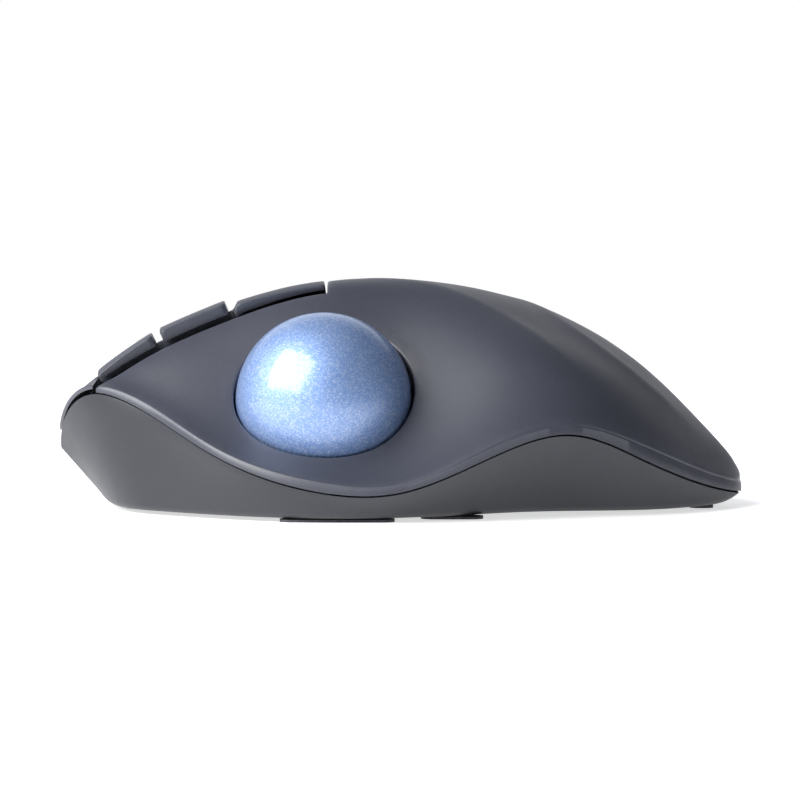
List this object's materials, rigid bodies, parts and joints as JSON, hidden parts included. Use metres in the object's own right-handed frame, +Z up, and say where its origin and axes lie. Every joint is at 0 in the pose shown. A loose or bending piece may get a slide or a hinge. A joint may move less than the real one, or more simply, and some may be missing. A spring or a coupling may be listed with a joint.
{
  "type": "trackball mouse",
  "caption": "Thumb-operated cordless trackball mouse with a sculpted palm shell, click buttons, a scroll wheel and a ball held in a cup.",
  "frame": {"origin": "under the middle of the body, on the plane that the feet stand on", "axes": "+Z up; the front with the buttons faces -X; the thumb side with the ball faces -Y"},
  "size_m": [0.134, 0.1001, 0.0448],
  "materials": {
    "shell": "finely textured moulding",
    "base": "finely textured moulding",
    "black": "satin",
    "pearl": "pearlescent under clear gloss",
    "rubber": "matt",
    "steel": "bright",
    "nickel": "plated",
    "board": "solder mask",
    "component": "satin",
    "plunger": "smooth",
    "lens": "polished",
    "ceramic": "polished",
    "cell": "foil sleeve",
    "glide": "low-friction film",
    "ribbon": "film"
  },
  "bodies": {
    "case": {"top_shell": "shell", "bottom_shell": "base", "inner_frame": "black", "ball_cup": "black", "usb_receiver": "black", "wheel_encoder": "component", "optical_sensor": "component", "sensor_lens": "lens", "sensor_board": "board", "main_board": "board", "side_button_board": "board", "ribbon_cable": "ribbon", "battery_cell": "cell", "battery_spring": "nickel", "battery_plate": "nickel", "power_switch": "component", "connect_switch": "component", "left_switch": "component", "right_switch": "component", "middle_switch": "component", "forward_switch": "component", "back_switch": "component", "case_screw_1": "steel", "case_screw_2": "steel", "case_screw_3": "steel", "case_screw_4": "steel", "case_screw_5": "steel", "foot_1": "glide", "foot_2": "glide", "foot_3": "glide", "foot_4": "glide", "foot_5": "glide", "support_bearing_1": "ceramic", "support_bearing_2": "ceramic", "support_bearing_3": "ceramic"},
    "left_button": {"left_button": "shell"},
    "right_button": {"right_button": "shell"},
    "forward_button": {"forward_button": "shell"},
    "back_button": {"back_button": "shell"},
    "wheel_carrier": {"wheel_carrier": "black"},
    "wheel": {"scroll_wheel": "black", "wheel_tyre": "rubber", "wheel_axle": "steel"},
    "ball": {"trackball": "pearl"},
    "battery_door": {"battery_door": "base"},
    "power_slider": {"power_slider": "plunger"},
    "connect_button": {"connect_button": "plunger"},
    "left_plunger": {"left_plunger": "plunger"},
    "right_plunger": {"right_plunger": "plunger"},
    "middle_plunger": {"middle_plunger": "plunger"},
    "forward_plunger": {"forward_plunger": "plunger"},
    "back_plunger": {"back_plunger": "plunger"}
  },
  "joints": [
    {"name": "left_button_press", "type": "hinge", "parent": "case", "child": "left_button", "pos_m": [-0.0148, 0.008, 0.04138], "axis": [0, -1, 0], "range_deg": [0, 0.9], "stiffness_Nm_per_rad": 1.5},
    {"name": "right_button_press", "type": "hinge", "parent": "case", "child": "right_button", "pos_m": [-0.0148, 0.008, 0.04138], "axis": [0, -1, 0], "range_deg": [0, 0.9], "stiffness_Nm_per_rad": 1.5},
    {"name": "forward_button_press", "type": "slide", "parent": "case", "child": "forward_button", "axis": [0.4367, 0, -0.8996], "range_m": [0, 0.0005], "stiffness_N_per_m": 1200},
    {"name": "back_button_press", "type": "slide", "parent": "case", "child": "back_button", "axis": [0.4367, 0, -0.8996], "range_m": [0, 0.0005], "stiffness_N_per_m": 1200},
    {"name": "wheel_click", "type": "hinge", "parent": "case", "child": "wheel_carrier", "pos_m": [-0.026, 0.008, 0.019], "axis": [0, -1, 0], "range_deg": [0, 1.15], "stiffness_Nm_per_rad": 1},
    {"name": "wheel_spin", "type": "hinge", "parent": "wheel_carrier", "child": "wheel", "pos_m": [-0.037, 0.008, 0.02775], "axis": [0, 1, 0], "continuous": true},
    {"name": "trackball_spin", "type": "hinge", "parent": "case", "child": "ball", "pos_m": [-0.0147, -0.0275, 0.0224], "axis": [1, 0, 0], "continuous": true},
    {"name": "battery_door_open", "type": "hinge", "parent": "case", "child": "battery_door", "pos_m": [-0.0124, 0.0129, 0.0014], "axis": [0, 1, 0], "range_deg": [0, 60]},
    {"name": "power_slider_slide", "type": "slide", "parent": "case", "child": "power_slider", "axis": [1, 0, 0], "range_m": [0, 0.003]},
    {"name": "connect_button_press", "type": "slide", "parent": "case", "child": "connect_button", "axis": [0, 0, 1], "range_m": [0, 0.0005], "stiffness_N_per_m": 1200},
    {"name": "left_plunger_press", "type": "slide", "parent": "case", "child": "left_plunger", "axis": [0, 0, -1], "range_m": [0, 0.0005]},
    {"name": "right_plunger_press", "type": "slide", "parent": "case", "child": "right_plunger", "axis": [0, 0, -1], "range_m": [0, 0.0005]},
    {"name": "middle_plunger_press", "type": "slide", "parent": "case", "child": "middle_plunger", "axis": [0, 0, -1], "range_m": [0, 0.0005]},
    {"name": "forward_plunger_press", "type": "slide", "parent": "case", "child": "forward_plunger", "axis": [0.4367, 0, -0.8996], "range_m": [0, 0.0005]},
    {"name": "back_plunger_press", "type": "slide", "parent": "case", "child": "back_plunger", "axis": [0.4367, 0, -0.8996], "range_m": [0, 0.0005]}
  ],
  "couplings": [
    {"joint": "left_plunger_press", "follows": "left_button_press", "m_per_rad": 0.0312},
    {"joint": "right_plunger_press", "follows": "right_button_press", "m_per_rad": 0.0282},
    {"joint": "middle_plunger_press", "follows": "wheel_click", "m_per_rad": 0.024},
    {"joint": "forward_plunger_press", "follows": "forward_button_press", "ratio": 1},
    {"joint": "back_plunger_press", "follows": "back_button_press", "ratio": 1}
  ]
}
